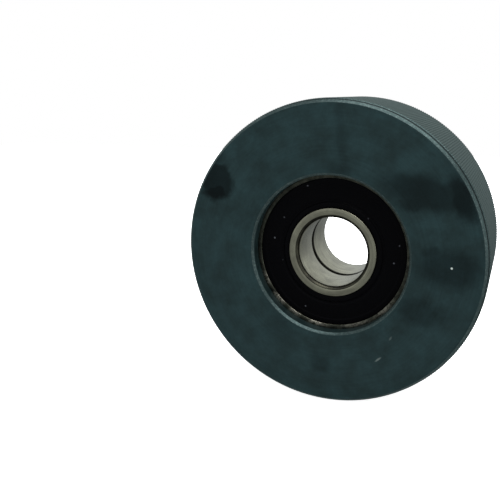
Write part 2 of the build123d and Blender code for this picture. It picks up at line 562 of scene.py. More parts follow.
@dataclass(frozen=True)
class BlackOxideTurned(Finish):
    """Face-turned mild steel, black-oxide dipped and oiled.

    The dip leaves a thin blue-green black skin over the lathe's rings, so the eye sees a dark
    satin face with faint circles, cloudy patches, darker oil stains and a few bright nicks.

    Args:
        front: Place of the piece's front face along Y, in metres.
        back: Place of its back face along Y, in metres.
    """

    front: float
    back: float
    skin: str = "#203133"
    cloud: str = "#1a2728"
    oil_and_shade: str = "#060c0d"
    nick: str = "#a9b3ae"
    metallic: float = 0.45
    roughness: float = 0.44
    oiled_roughness: float = 0.36
    cloud_mm: float = 6.0
    grain_mm: float = 0.8
    # A finishing cut's feed marks, about 0.15 mm apart, are too fine to show, so they are
    # drawn coarser.
    feed_mm: float = 0.4
    stain_wander_mm: float = 1.0
    nick_wander_mm: float = 0.12
    front_stains: tuple[Patch, ...] = (
        Patch(-28.4, 16.2, 4.4, 4.4, 0.78, 0.18, -20),
        Patch(-28.8, 13.8, 3.8, 1.6, 0.95, 0.35, 6),
        Patch(-30.5, 21.0, 2.2, 6.0, 0.5, 0.5, -40),
        Patch(2.6, 29.0, 1.2, 8.0, 0.22, 0.6, 8),
        Patch(2.4, 21.0, 2.4, 1.4, 0.25, 0.6),
        Patch(22.0, 16.0, 9.0, 3.6, 0.62, 0.4, -14),
        Patch(20.0, 13.6, 3.6, 1.8, 0.6, 0.5),
        Patch(30.0, 15.0, 2.6, 5.6, 0.8, 0.45, 24),
        Patch(28.2, -1.0, 7.0, 4.4, 0.54, 0.4),
        Patch(24.4, 2.2, 2.4, 1.8, 0.5, 0.5),
        Patch(21.6, -11.5, 5.6, 3.0, 0.4, 0.45, -10),
        Patch(-2.0, -27.0, 2.8, 2.0, 0.3, 0.5, -30),
        Patch(-12.0, -19.0, 5.0, 3.4, 0.2, 0.7, 30),
    )
    back_stains: tuple[Patch, ...] = (
        Patch(-24.0, -14.0, 7.0, 4.0, 0.4, 0.6, 30),
        Patch(12.0, 26.0, 6.0, 3.0, 0.5, 0.45, -20),
        Patch(27.0, -9.0, 4.0, 5.0, 0.45, 0.6),
        Patch(-8.0, 29.0, 2.0, 5.0, 0.35, 0.6, 12),
    )
    front_nicks: tuple[Patch, ...] = (
        Patch(28.5, -0.7, 0.22, 0.22, 1.0, 0.45),
        Patch(12.4, -24.2, 0.2, 0.8, 0.18, 0.6, -48),
        Patch(15.2, -18.6, 0.2, 0.5, 0.08, 0.7, -30),
    )
    back_nicks: tuple[Patch, ...] = (
        Patch(-29.0, 8.0, 0.25, 0.4, 0.8, 0.5),
        Patch(17.0, 21.0, 0.2, 0.9, 0.4, 0.6, 35),
    )

    def surface(self, add: Adder, place: Socket) -> dict:
        """Adds the finish's nodes.

        Args:
            add: Adds a node to the material's tree.
            place: The object coordinates.

        Returns:
            The shader's inputs: values, or sockets to link from, by name.
        """
        skin, _ = blotched(add, place, self.cloud_mm, (5.0, 0.62), (0.35, 0.65),
                           (self.skin, self.cloud))
        grain = add("TexNoise", {"Vector": place, "Scale": per_metre(self.grain_mm),
                                 "Detail": 3.0, "Roughness": 0.7})
        lines = lathe_lines(add, place, self.feed_mm)
        texture = add("Math", {0: grain.outputs["Fac"], 1: lines}, operation="ADD")
        shade = add("MapRange", {"Value": texture.outputs["Value"], "From Min": 0.7,
                                 "From Max": 1.3, "To Min": 0.89, "To Max": 1.11})
        mottled = add("VectorMath", {0: skin, "Scale": shade.outputs["Result"]},
                      operation="SCALE")
        stains = patch_mask(add, place, ((self.front, self.front_stains),
                                         (self.back, self.back_stains)), self.stain_wander_mm)
        nicks = patch_mask(add, place, ((self.front, self.front_nicks),
                                        (self.back, self.back_nicks)), self.nick_wander_mm)
        dimmed = add("Mix", {"Factor": stains, MIX_A: mottled.outputs["Vector"],
                            MIX_B: linear(self.oil_and_shade)}, data_type="RGBA")
        nicked = add("Mix", {"Factor": nicks, MIX_A: dimmed.outputs[MIX_OUT],
                             MIX_B: linear(self.nick)}, data_type="RGBA")
        gloss = add("MapRange", {"Value": stains, "To Min": self.roughness,
                                 "To Max": self.oiled_roughness})
        bump = add("Bump", {"Height": texture.outputs["Value"], "Strength": 0.5,
                            "Distance": 0.008 * MM})
        return {"Base Color": nicked.outputs[MIX_OUT], "Roughness": gloss.outputs["Result"],
                "Metallic": self.metallic, "Specular IOR Level": SKIN_SPECULAR,
                "Normal": bump.outputs["Normal"]}


@dataclass(frozen=True)
class BlackOxideRubbed(Finish):
    """Black oxide where it rubs thin: on turned chamfers, and on a knurl's flanks and crests.

    Handling polishes the skin off in small spots, so bright grey steel shows through the
    green-black in a fine uneven speckle.

    Args:
        skin: The colour where the oxide is whole.
        bare: The colour where it is rubbed thin.
        wear: How much of it is rubbed thin, from 0 to 1.
        roughness: Its roughness.
        metallic: How much of its light is a metal's, from 0 to 1.
        speck_mm: Size of the rubbed spots.
        line_mm: Width of the tool lines.
        glare: The tint that the skin gives to light at a low angle.
    """

    skin: str
    bare: str
    wear: float
    roughness: float
    metallic: float = 0.6
    speck_mm: float = 0.5
    line_mm: float = 0.3
    glare: str = "#d4dedd"

    def surface(self, add: Adder, place: Socket) -> dict:
        """Adds the finish's nodes.

        Args:
            add: Adds a node to the material's tree.
            place: The object coordinates.

        Returns:
            The shader's inputs: values, or sockets to link from, by name.
        """
        onset = 0.6 - 0.3 * self.wear  # the more wear, the lower the noise that rubs through
        colour, _ = blotched(add, place, self.speck_mm, (4.0, 0.65), (onset, onset + 0.25),
                             (self.skin, self.bare))
        bump = add("Bump", {"Height": lathe_lines(add, place, self.line_mm), "Strength": 0.5,
                            "Distance": 0.006 * MM})
        return {"Base Color": colour, "Roughness": self.roughness, "Metallic": self.metallic,
                "Specular IOR Level": SKIN_SPECULAR, "Specular Tint": linear(self.glare),
                "Normal": bump.outputs["Normal"]}


@dataclass(frozen=True)
class BareSteel(Finish):
    """Bare machined steel, from a lapped ball to a ground ring face.

    Fine lines round the axis spread its highlights into soft bands, and a thin film of oil or
    a passive layer shades it in blotches.

    Args:
        colour: Its colour where clean.
        film_and_shade: Its colour under the film, which on the ring edge is part of the painted
            shade.
        roughness: Its mean roughness.
        blotch_mm: Size of the film's blotches.
        line_mm: Width of the tool or grinding lines.
        line_height_mm: Height of those lines.
        streaks: How much the lines change its brightness, from 0 to 1.
        metallic: How much of its light is a metal's, from 0 to 1.
        gloss_swing: How far the film moves the roughness either way.
    """

    colour: str
    film_and_shade: str
    roughness: float
    blotch_mm: float = 3.0
    line_mm: float = 0.3
    line_height_mm: float = 0.002
    streaks: float = 0.15
    metallic: float = 1.0
    gloss_swing: float = 0.06

    def surface(self, add: Adder, place: Socket) -> dict:
        """Adds the finish's nodes.

        Args:
            add: Adds a node to the material's tree.
            place: The object coordinates.

        Returns:
            The shader's inputs: values, or sockets to link from, by name.
        """
        colour, blotches = blotched(add, place, self.blotch_mm, (4.0, 0.6), (0.35, 0.65),
                                    (self.colour, self.film_and_shade))
        lines = lathe_lines(add, place, self.line_mm)
        shade = add("MapRange", {"Value": lines, "From Min": 0.3, "From Max": 0.7,
                                 "To Min": 1 - self.streaks, "To Max": 1 + self.streaks})
        streaked = add("VectorMath", {0: colour, "Scale": shade.outputs["Result"]},
                       operation="SCALE")
        gloss = add("MapRange", {"Value": blotches, "To Min": self.roughness - self.gloss_swing,
                                 "To Max": self.roughness + self.gloss_swing})
        bump = add("Bump", {"Height": lines, "Strength": 0.5,
                            "Distance": self.line_height_mm * MM})
        return {"Base Color": streaked.outputs["Vector"], "Roughness": gloss.outputs["Result"],
                "Metallic": self.metallic, "Normal": bump.outputs["Normal"]}


@dataclass(frozen=True)
class RingFaceWithPaintedLight(Finish):
    """The ground end face of the outer ring, painted dark as painted shade.

    Only a sliver of it shows inside the pulley's shoulder. Its dark grey-brown colour is painted
    shade, and pale spots towards -Z on both faces are painted light where the lamps reach it.

    Args:
        front: Place of the ring's front face along Y, in metres.
        back: Place of its back face along Y, in metres.
    """

    front: float
    back: float
    # Painted shade: the dark grey-brown that covers the face.
    oil_and_shade: str = "#2e302b"
    clean: str = "#55564c"
    painted_light: str = "#b4afa2"
    roughness: float = 0.36
    blotch_mm: float = 2.0
    spot_noise_mm: float = 0.5
    wander_mm: float = 0.5
    painted_light_spots: tuple[Patch, ...] = (
        Patch(-13.6, -12.6, 0.9, 1.6, 1.0, 0.6, 45),
        Patch(-9.5, -15.8, 0.7, 1.4, 0.9, 0.7, 60),
        Patch(-3.6, -18.1, 2.2, 0.6, 0.8, 0.7, -10),
        Patch(-16.8, -7.6, 0.7, 1.6, 0.6, 0.7, 20),
        Patch(13.0, -13.0, 0.9, 2.6, 0.35, 0.7, -45),
        Patch(6.0, -17.3, 3.0, 0.7, 0.35, 0.7, 18),
    )

    def surface(self, add: Adder, place: Socket) -> dict:
        """Adds the finish's nodes.

        Args:
            add: Adds a node to the material's tree.
            place: The object coordinates.

        Returns:
            The shader's inputs: values, or sockets to link from, by name.
        """
        film_and_shade, _ = blotched(add, place, self.blotch_mm, (5.0, 0.7), (0.4, 0.65),
                           (self.oil_and_shade, self.clean))
        # Painted light: pale spots towards -Z, where the lamps light this sliver of the ring.
        painted_light_spots = patch_mask(add, place, ((self.front, self.painted_light_spots),
                                          (self.back, self.painted_light_spots)), self.wander_mm)
        spot_noise = add("TexNoise", {"Vector": place, "Scale": per_metre(self.spot_noise_mm),
                                "Detail": 3.0, "Roughness": 0.7})
        bare = add("MapRange", {"Value": spot_noise.outputs["Fac"], "From Min": 0.38,
                                "From Max": 0.56})
        painted_light = add("Math", {0: painted_light_spots, 1: bare.outputs["Result"]}, operation="MULTIPLY")
        colour = add("Mix", {"Factor": painted_light.outputs["Value"], MIX_A: film_and_shade,
                             MIX_B: linear(self.painted_light)}, data_type="RGBA")
        bump = add("Bump", {"Height": spot_noise.outputs["Fac"], "Strength": 0.6,
                            "Distance": 0.012 * MM})
        return {"Base Color": colour.outputs[MIX_OUT], "Roughness": self.roughness,
                "Metallic": 1.0, "Normal": bump.outputs["Normal"]}


@dataclass(frozen=True)
class NitrileRubber(Finish):
    """Moulded nitrile rubber with carbon black.

    It is close to black with a soft gloss, a faint moulded grain and a little pale dust.
    """

    colour: str = "#030304"
    dust: str = "#3c3e42"
    roughness: float = 0.34
    ior: float = 1.52
    specular: float = 0.02
    dust_spacing_mm: float = 4.0
    grain_mm: float = 0.35

    def surface(self, add: Adder, place: Socket) -> dict:
        """Adds the finish's nodes.

        Args:
            add: Adds a node to the material's tree.
            place: The object coordinates.

        Returns:
            The shader's inputs: values, or sockets to link from, by name.
        """
        cells = add("TexVoronoi", {"Vector": place, "Scale": per_metre(self.dust_spacing_mm),
                                   "Randomness": 1.0})
        specks = add("MapRange", {"Value": cells.outputs["Distance"], "From Min": 0.03,
                                  "From Max": 0.07, "To Min": 1.0, "To Max": 0.0})
        colour = add("Mix", {"Factor": specks.outputs["Result"], MIX_A: linear(self.colour),
                             MIX_B: linear(self.dust)}, data_type="RGBA")
        grain = add("TexNoise", {"Vector": place, "Scale": per_metre(self.grain_mm),
                                 "Detail": 2.0})
        bump = add("Bump", {"Height": grain.outputs["Fac"], "Strength": 0.3,
                            "Distance": 0.006 * MM})
        return {"Base Color": colour.outputs[MIX_OUT], "Roughness": self.roughness,
                "IOR": self.ior, "Specular IOR Level": self.specular,
                "Normal": bump.outputs["Normal"]}


class Shelf(Enum):
    """The finishes that several pieces share."""

    # A turned chamfer: smoother than the face, with its oxide rubbed thin along the edge.
    CHAMFER = BlackOxideRubbed("black_oxide_rubbed_on_chamfer", "#313d3d", "#4a5756", 0.4, 0.34)
    # The thin land beside the knurl and the step up to it, painted dark: painted shade where the
    # corner falls in shadow.
    LAND = BlackOxideRubbed("black_oxide_with_painted_shade", "#141b1c", "#20292a", 0.3, 0.4)
    # The sides of the knurl's ridges, where the skin is whole.
    KNURL_FLANK = BlackOxideRubbed("black_oxide_on_knurl_flanks", "#2b3837", "#3c4a48", 0.3,
                                   0.46, 1.0)
    # The tops of the ridges, which the belt has polished.
    KNURL_CREST = BlackOxideRubbed("black_oxide_rubbed_off_knurl_crests", "#2f3c3a", "#485755",
                                   0.5, 0.42, 1.0)
    # Plunge-ground ring faces and bores, with a thin straw-coloured film of oil.
    GROUND = BareSteel("ground_bearing_steel", "#a09e8b", "#8b8979", 0.28, streaks=0.22)
    # The turned and hardened edge of the bore, left unground; its dark colour is painted shade,
    # with bright tool lines.
    TURNED_EDGE = BareSteel("ring_edge_with_painted_shade", "#45443a", "#2b2a26", 0.4,
                            line_mm=0.25, streaks=0.6, line_height_mm=0.01)
    # Balls lapped to a mirror, under a trace of grease.
    LAPPED = BareSteel("lapped_ball_steel", "#c9c9c4", "#b9b9b2", 0.12, line_height_mm=0.0002,
                       streaks=0.02)
    # Soft sheet drawn in a press: dull, with faint draw marks.
    PRESSED_SHEET = BareSteel("pressed_cage_sheet_steel", "#9d9c94", "#85857e", 0.36,
                              blotch_mm=1.5)
    # Spring steel etched by a phosphate bath: dark grey, dry and fine-grained.
    PHOSPHATED = BareSteel("phosphated_spring_steel", "#3b3d3f", "#2e3032", 0.52,
                           blotch_mm=0.6, line_mm=0.2, streaks=0.08, metallic=0.3)
    # The moulded lip seals.
    NITRILE = NitrileRubber("moulded_nitrile_rubber")

    @cache
    def material(self) -> bpy.types.Material:
        """The finish's material, built once."""
        return self.value.material()


# ---------------------------------------------------------------- pulley


@dataclass
class Pulley:
    """The wide knurled pulley body.

    Sizes are in millimetres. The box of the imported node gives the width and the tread. A
    margin or zone is how far a test reaches when the surfaces are told apart.
    """

    node: str = "pulley_body"
    body: str = "pulley"
    land_drop: float = 0.4
    rim_chamfer: float = 0.62
    knurl_start: float = 1.5
    knurl_bevel: float = 0.4
    shaded_step: float = 0.16
    knurl_depth: float = 0.13
    ridges: int = 384
    columns_per_ridge: int = 3
    shoulder: float = 19.0
    shoulder_chamfer: float = 0.55
    seat: float = 20.0
    seat_chamfer: float = 1.0
    groove: float = 21.25
    groove_width: float = 1.85
    edge: float = 0.06
    steepest_chamfer: float = 0.985
    chamfer_zone: float = 1.95
    crest_margin: float = 0.02
    land_margin: float = 0.03

    @cached_property
    def box(self) -> tuple[Vector, Vector]:
        """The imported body's lowest and highest corner, in metres."""
        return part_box(self.node)

    @cached_property
    def tread(self) -> float:
        """The radius across the knurl's crests, in millimetres."""
        return self.box[1].z / MM

    @cached_property
    def land(self) -> float:
        """The radius of the plain lands beside the knurl, in millimetres."""
        return self.tread - self.land_drop

    def outline(self) -> list[Corner]:
        """The body's cross-section, with its outer edges lightly broken.

        Returns:
            The outline's corners.
        """
        front, back = self.box[0].y / MM, self.box[1].y / MM
        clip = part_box("rear_bearing_outer_ring")[1].y / MM
        seat_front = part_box("front_bearing_outer_ring")[0].y / MM
        rim = [
            Corner(self.land - self.rim_chamfer, 0.0, self.edge),
            Corner(self.land, self.rim_chamfer, self.edge),
            Corner(self.land, self.knurl_start),
            Corner(self.land + self.shaded_step, self.knurl_start + self.shaded_step),
            Corner(self.tread, self.knurl_start + self.knurl_bevel),
        ]
        return [
            Corner(self.shoulder + self.shoulder_chamfer, front, self.edge),
            *[Corner(c.radius, front + c.place, c.rounding) for c in rim],
            *[Corner(c.radius, back - c.place, c.rounding) for c in reversed(rim)],
            Corner(self.seat + self.seat_chamfer, back, self.edge),
            Corner(self.seat, back - self.seat_chamfer, self.edge),
            Corner(self.seat, clip + self.groove_width),
            Corner(self.groove, clip + self.groove_width),
            Corner(self.groove, clip),
            Corner(self.seat, clip),
            Corner(self.seat, seat_front),
            Corner(self.shoulder, seat_front, self.edge),
            Corner(self.shoulder, front + self.shoulder_chamfer, self.edge),
        ]

    def depth(self, face: bmesh.types.BMFace) -> float:
        """How far a face lies from the nearer end of the body, in millimetres."""
        return self.box[1].y / MM - abs(face.calc_center_median().y) / MM

    def on_chamfer(self, face: bmesh.types.BMFace) -> bool:
        """Whether a face is on a chamfer or a broken edge, at the rim or in the mouth."""
        slanted = ROUND_THE_AXIS < abs(face.normal.y) < self.steepest_chamfer
        return slanted and self.depth(face) < self.chamfer_zone

    def on_knurl(self, face: bmesh.types.BMFace) -> bool:
        """Whether a face is a side, a crest or a valley of the knurl."""
        outside = radius_of(face.calc_center_median()) > self.tread - self.knurl_depth * 1.1
        return outside and abs(face.normal.y) < ROUND_THE_AXIS

    def on_crest(self, face: bmesh.types.BMFace) -> bool:
        """Whether a face is the top of a ridge."""
        top = self.tread - self.crest_margin
        return radius_of(face.calc_center_median()) > top and self.on_knurl(face)

    def on_land(self, face: bmesh.types.BMFace) -> bool:
        """Whether a face is on the land or on the step between it and the knurl, both of which get
        painted shade.
        """
        radius = radius_of(face.calc_center_median())
        in_height = self.land - self.land_margin < radius < self.land + self.shaded_step
        return in_height and self.depth(face) > self.rim_chamfer

    def press_knurl(self, piece: bpy.types.Object) -> None:
        """Presses one line of points of each ridge inwards, which leaves flat-topped ridges.

        Args:
            piece: The turned pulley.
        """
        turn = math.tau / (self.ridges * self.columns_per_ridge)

        def in_valley(point: bmesh.types.BMVert) -> bool:
            column = round(math.atan2(point.co.z, point.co.x) / turn)
            on_tread = radius_of(point.co) > self.tread - self.crest_margin / 2
            return on_tread and column % self.columns_per_ridge == 0

        with editing(piece):
            choose(piece, Part.POINTS, in_valley)
            shrink = 1 - self.knurl_depth / self.tread
            bpy.ops.transform.resize(value=(shrink, 1, shrink), center_override=(0, 0, 0))
        smooth(piece)

    def build(self) -> None:
        """Turns the body, presses in the knurl and dresses every surface."""
        piece = turned("knurled_pulley", self.outline(), self.ridges * self.columns_per_ridge)
        self.press_knurl(piece)
        low, high = self.box
        dress(piece, BlackOxideTurned("black_oxide_on_turned_steel", low.y, high.y).material(),
              Shelf.CHAMFER.material(), Shelf.KNURL_FLANK.material(),
              Shelf.KNURL_CREST.material(), Shelf.LAND.material())
        # The land and its step, on the last slot, get painted shade.
        tests = (self.on_chamfer, self.on_knurl, self.on_crest, self.on_land)
        for slot, test in enumerate(tests, start=1):
            paint(piece, slot, test)
        settle(piece, self.body, "blackened_steel", self.node)


# ---------------------------------------------------------------- circlip


@dataclass
class Circlip:
    """The internal circlip, narrower towards two lugs with plier holes. Sizes in millimetres."""

    node: str = "retaining_circlip"
    body: str = "pulley"
    widest: float = 3.9
    narrowest: float = 2.6
    lug_depth: float = 5.8
    lug_radius: float = 2.4
    lug_angle: float = 20.0
    lug_blend: float = 3.0
    steps: tuple[int, int, int] = (73, 17, 67)
    hole: float = 1.25
    bit_length: float = 4.0
    edge: float = 0.15

    def lug_place(self, outer: float) -> float:
        """How far the middle of a lug is from the axis, in millimetres."""
        return outer - self.lug_depth + self.lug_radius

    def right_half(self, outer: float) -> list[tuple[float, float]]:
        """The right half of the outline in X and Z, from the bottom round the lug and back.

        Args:
            outer: The circlip's outer radius, in millimetres.

        Returns:
            The points, in millimetres.
        """
        place, up = self.lug_place(outer), 90 - self.lug_angle
        side = math.degrees(math.asin(self.lug_radius / place))
        lug = polar(place, up)
        inner = outer - (self.widest + self.narrowest) / 2
        offset = (self.widest - self.narrowest) / 2
        outer_steps, lug_steps, inner_steps = self.steps
        return (arc((0, 0), outer, -90, up + side, outer_steps)
                + arc(lug, self.lug_radius, up + 90, up + 270, lug_steps)
                + arc((0, offset), inner, up - side - self.lug_blend, -90, inner_steps))

    def build(self) -> None:
        """Cuts the outline from sheet, drills the lugs and breaks the edges."""
        low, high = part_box(self.node)
        outer = high.x / MM
        right = self.right_half(outer)
        left = [(-x, z) for x, z in reversed(right)]
        piece = start_point("internal_circlip")
        with editing(piece):
            draw_loop([(x * MM, low.y, z * MM) for x, z in right + left[1:-1]])
            bpy.ops.mesh.select_all(action="SELECT")
            bpy.ops.mesh.fill(use_beauty=True)
            bpy.ops.mesh.select_all(action="SELECT")
            bpy.ops.mesh.extrude_region_move(
                TRANSFORM_OT_translate={"value": (0, high.y - low.y, 0)})
            clean()
        self.drill(piece, outer, (low.y + high.y) / 2)
        bevel = piece.modifiers.new("broken_edges", "BEVEL")
        bevel.width, bevel.segments = self.edge * MM, 2
        bevel.limit_method, bevel.angle_limit = "ANGLE", math.radians(50)
        apply_all(piece)
        smooth(piece)
        dress(piece, Shelf.PHOSPHATED.material())
        settle(piece, self.body, "spring_steel", self.node)

    def drill(self, piece: bpy.types.Object, outer: float, middle: float) -> None:
        """Drills the plier holes.

        Args:
            piece: The circlip.
            outer: Its outer radius, in millimetres.
            middle: Place of its middle along Y, in metres.
        """
        for angle in (90 - self.lug_angle, 90 + self.lug_angle):
            x, z = polar(self.lug_place(outer) * MM, angle)
            bpy.ops.object.select_all(action="DESELECT")
            bpy.ops.mesh.primitive_cylinder_add(
                vertices=32, radius=self.hole * MM, depth=self.bit_length * MM,
                location=(x, middle, z), rotation=(math.pi / 2, 0, 0))
            bit = bpy.context.object
            cut = piece.modifiers.new("drill", "BOOLEAN")
            cut.object, cut.operation, cut.solver = bit, "DIFFERENCE", "EXACT"
            apply_all(piece)
            bpy.data.objects.remove(bit)
        with editing(piece):
            clean()
            bpy.ops.mesh.select_all(action="SELECT")
            bpy.ops.mesh.dissolve_limited(angle_limit=math.radians(1))


# ---------------------------------------------------------------- bearings


@dataclass
class BallBearing:
    """One sealed ball bearing. Sizes are in millimetres from its own middle.

    The box of its packed outer ring gives its place, width and outer radius. A gap keeps two
    pieces apart, and a margin, zone or slope says how far a test reaches.
    """

    name: str
    bore: float
    inner_land: float = 10.8
    inner_shoulder: float = 12.25
    inner_step: float = 1.9
    bore_edge: float = 1.0
    bore_margin: float = 0.005
    bore_edge_slopes: tuple[float, float] = (0.02, 0.97)
    outer_shoulder: float = 16.6
    outer_edge: float = 0.6
    end_zone: float = 0.7
    fine_edge: float = 0.12
    seat: float = 18.0
    snap: float = 18.3
    seat_depth: float = 1.6
    pitch: float = 14.25
    raceway: float = 3.52
    raceway_gap: float = 4.0
    ball: float = 3.3735
    ball_count: int = 8
    cage_inner: float = 13.0
    cage_outer: float = 15.5
    cage_sheet: float = 0.6
    half_sheet: float = 0.27
    sheet_play: float = 0.02
    cage_columns: int = 288
    cage_rows: int = 6
    pocket_gap: float = 0.08
    rivet_head: float = 1.0
    rivet_head_height: float = 0.4
    rivet_shank: float = 0.55
    seal_recess: float = 0.25
    seal_thickness: float = 1.25
    seal_gap: float = 0.05
    lip_gap: float = 0.07
    bead_half: float = 0.25
    flex_groove: tuple[float, float] = (12.1, 13.1)
    flex_depth: float = 0.35
    flex_slope: float = 0.3
    web_drop: float = 0.15
    web_slope: float = 0.25
    core_inner: float = 12.6
    core_outer: float = 17.0
    core_thickness: float = 0.4
    core_gap: float = 0.02
    columns: int = 160

    @cached_property
    def box(self) -> tuple[Vector, Vector]:
        """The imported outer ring's lowest and highest corner, in metres."""
        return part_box(f"{self.name}_bearing_outer_ring")

    @cached_property
    def middle(self) -> float:
        """The bearing's middle along Y, in millimetres."""
        return (self.box[0].y + self.box[1].y) / 2 / MM

    @cached_property
    def half_width(self) -> float:
        """Half the bearing's width, in millimetres."""
        return (self.box[1].y - self.box[0].y) / 2 / MM

    def at_middle(self, half: Sequence[Corner]) -> list[Corner]:
        """The full outline of a ring from the corners of its +Y half."""
        other = [Corner(c.radius, -c.place, c.rounding) for c in reversed(half)]
        return [Corner(c.radius, c.place + self.middle, c.rounding) for c in [*half, *other]]

    def raceway_corners(self, shoulder: float, outward: bool) -> list[Corner]:
        """The +Y half of a raceway's arc, which stops just short of the bearing's middle.

        Args:
            shoulder: Radius of the shoulder where it starts, in millimetres.
            outward: Whether it is cut into the outer ring, and not into the inner one.

        Returns:
            Its corners, from the shoulder on.
        """
        reach = math.degrees(math.acos(abs(shoulder - self.pitch) / self.raceway))
        angles = (reach, self.raceway_gap)
        start, end = angles if outward else [180 - angle for angle in angles]
        points = arc((self.pitch, 0), self.raceway, start, end, 7)
        return [Corner(radius, place) for radius, place in points]

    def outer_ring(self) -> None:
        """The outer ring, with its raceway and its two seal seats."""
        end, depth = self.half_width, self.seat_depth
        half = [
            *reversed(self.raceway_corners(self.outer_shoulder, True)),
            Corner(self.outer_shoulder, end - depth),
            Corner(self.seat, end - depth),
            Corner(self.snap, end - depth * 3 / 4),
            Corner(self.snap, end - depth / 2),
            Corner(self.seat, end - depth / 4, 0.05),
            Corner(self.seat, end, self.fine_edge),
            Corner(self.box[1].z / MM, end, self.outer_edge),
        ]
        piece = turned(f"{self.name}_outer_race", self.at_middle(half), self.columns)
        low, high = self.box
        # The end faces get painted shade, with painted light in spots towards -Z.
        dimmed = RingFaceWithPaintedLight("ground_steel_with_painted_light_and_shade", low.y, high.y).material()
        dress(piece, Shelf.GROUND.material(), dimmed)

        def on_end(face: bmesh.types.BMFace) -> bool:
            off_middle = abs(face.calc_center_median().y / MM - self.middle)
            across = abs(face.normal.y) > ROUND_THE_AXIS
            return across and off_middle > self.half_width - self.end_zone

        paint(piece, 1, on_end)
        settle(piece, "pulley", "bearing_steel", f"{self.name}_bearing_outer_ring")

    def inner_ring(self) -> None:
        """The inner ring, with rounded bore edges and a land at each end for the seal's lip."""
        end, step = self.half_width, self.half_width - self.inner_step
        half = [
            *reversed(self.raceway_corners(self.inner_shoulder, False)),
            Corner(self.inner_shoulder, step, 0.15),
            Corner(self.inner_land, step),
            Corner(self.inner_land, end, self.fine_edge),
            Corner(self.bore, end, self.bore_edge),
        ]
        piece = turned(f"{self.name}_inner_race", self.at_middle(half), self.columns, 6)
        dress(piece, Shelf.GROUND.material(), Shelf.TURNED_EDGE.material())

        def on_bore_edge(face: bmesh.types.BMFace) -> bool:
            out = radius_of(face.calc_center_median()) - self.bore
            least, most = self.bore_edge_slopes
            rounded = least < abs(face.normal.y) < most
            return rounded and self.bore_margin < out < self.bore_edge

        # The rounded bore edges get painted shade.
        paint(piece, 1, on_bore_edge)
        settle(piece, "inner_rings", "bearing_steel", f"{self.name}_bearing_inner_ring")

    def ball_places(self, first: float) -> list[Matrix]:
        """The places on the pitch circle.

        Args:
            first: The first one's angle, in degrees.

        Returns:
            A move from the origin to each place.
        """
        spots = [polar(self.pitch * MM, first + k * 360 / self.ball_count)
                 for k in range(self.ball_count)]
        return [Matrix.Translation((x, self.middle * MM, z)) for x, z in spots]

    def balls(self) -> None:
        """The balls: one cube, subdivided and blown up into a ball of even quads, and copied."""
        bpy.ops.object.select_all(action="DESELECT")
        bpy.ops.mesh.primitive_cube_add(size=2 * self.ball * MM)
        first = bpy.context.object
        with editing(first):
            bpy.ops.mesh.select_all(action="SELECT")
            bpy.ops.mesh.subdivide(number_cuts=11)
            bpy.ops.transform.tosphere(value=1.0)
        size = max(point.co.length for point in first.data.vertices)
        first.data.transform(Matrix.Scale(self.ball * MM / size, 4))
        smooth(first, 60)
        copies = [moved_copy(first, "ball", place) for place in self.ball_places(0)]
        bpy.data.objects.remove(first)
        piece = joined(f"{self.name}_ball_group", copies)
        dress(piece, Shelf.LAPPED.material())
        settle(piece, f"{self.name}_ball_set", "ball_steel", f"{self.name}_bearing_balls")

    def cage_half(self) -> bpy.types.Object:
        """The cage half towards +Y: a flat ring of sheet, raised into a cup over each ball.

        Returns:
            The cage half, about the origin.
        """
        pocket, rows = self.ball + self.pocket_gap, self.cage_rows
        bpy.ops.object.select_all(action="DESELECT")
        bpy.ops.mesh.primitive_circle_add(vertices=self.cage_columns,
                                          radius=self.cage_inner * MM,
                                          rotation=(math.pi / 2, 0, 0))
        piece = bpy.context.object
        bpy.ops.object.transform_apply(location=False, rotation=True, scale=False)
        radii = [self.cage_inner + (self.cage_outer - self.cage_inner) * row / rows
                 for row in range(rows + 1)]
        with editing(piece):
            bpy.ops.mesh.select_all(action="SELECT")
            for here, there in zip(radii, radii[1:]):
                bpy.ops.mesh.extrude_edges_move()
                bpy.ops.transform.resize(value=(there / here, 1, there / here),
                                         center_override=(0, 0, 0))
        turns = [k * math.tau / self.ball_count for k in range(self.ball_count)]
        centres = [Vector((math.cos(a), 0, math.sin(a))) * self.pitch for a in turns]
        for point in piece.data.vertices:
            away = min((point.co / MM - centre).length for centre in centres)
            rise = math.sqrt(max(0.0, pocket ** 2 - away ** 2))
            point.co.y = (rise + self.sheet_play) * MM
        shell = piece.modifiers.new("sheet", "SOLIDIFY")
        shell.thickness, shell.offset = 2 * self.half_sheet * MM, 0.0
        apply_all(piece)
        with editing(piece):
            clean()
        return piece

    def cage(self) -> None:
        """Both cage halves and the rivets between the balls."""
        master = self.cage_half()
        upright = Matrix.Translation((0, (self.middle + self.half_sheet) * MM, 0))
        mirrored = Matrix.Translation((0, (self.middle - self.half_sheet) * MM, 0)) @ (
            Matrix.Scale(-1, 4, (0, 1, 0)))
        for side, change in (("rear", upright), ("front", mirrored)):
            piece = moved_copy(master, f"{self.name}_cage_{side}_ribbon", change)
            smooth(piece, 50)
            dress(piece, Shelf.PRESSED_SHEET.material())
            settle(piece, f"{self.name}_ball_set", "cage_steel",
                   f"{self.name}_bearing_cage_{side}_half")
        bpy.data.objects.remove(master)
        self.rivets()

    def rivets(self) -> None:
        """The rivets: one is turned with a domed head at both ends, and copied round."""
        top = [Corner(radius * self.rivet_head, self.cage_sheet + rise * self.rivet_head_height)
               for radius, rise in arc((0, 0), 1.0, 89, 4, 7)]
        half = [*top, Corner(self.rivet_shank, self.cage_sheet)]
        first = turned("rivet", half + [Corner(c.radius, -c.place) for c in reversed(half)], 20)
        places = self.ball_places(180 / self.ball_count)
        copies = [moved_copy(first, "rivet_copy", place) for place in places]
        bpy.data.objects.remove(first)
        piece = joined(f"{self.name}_cage_rivet_group", copies)
        dress(piece, Shelf.PRESSED_SHEET.material())
        settle(piece, f"{self.name}_ball_set", "cage_steel",
               f"{self.name}_bearing_cage_rivets")

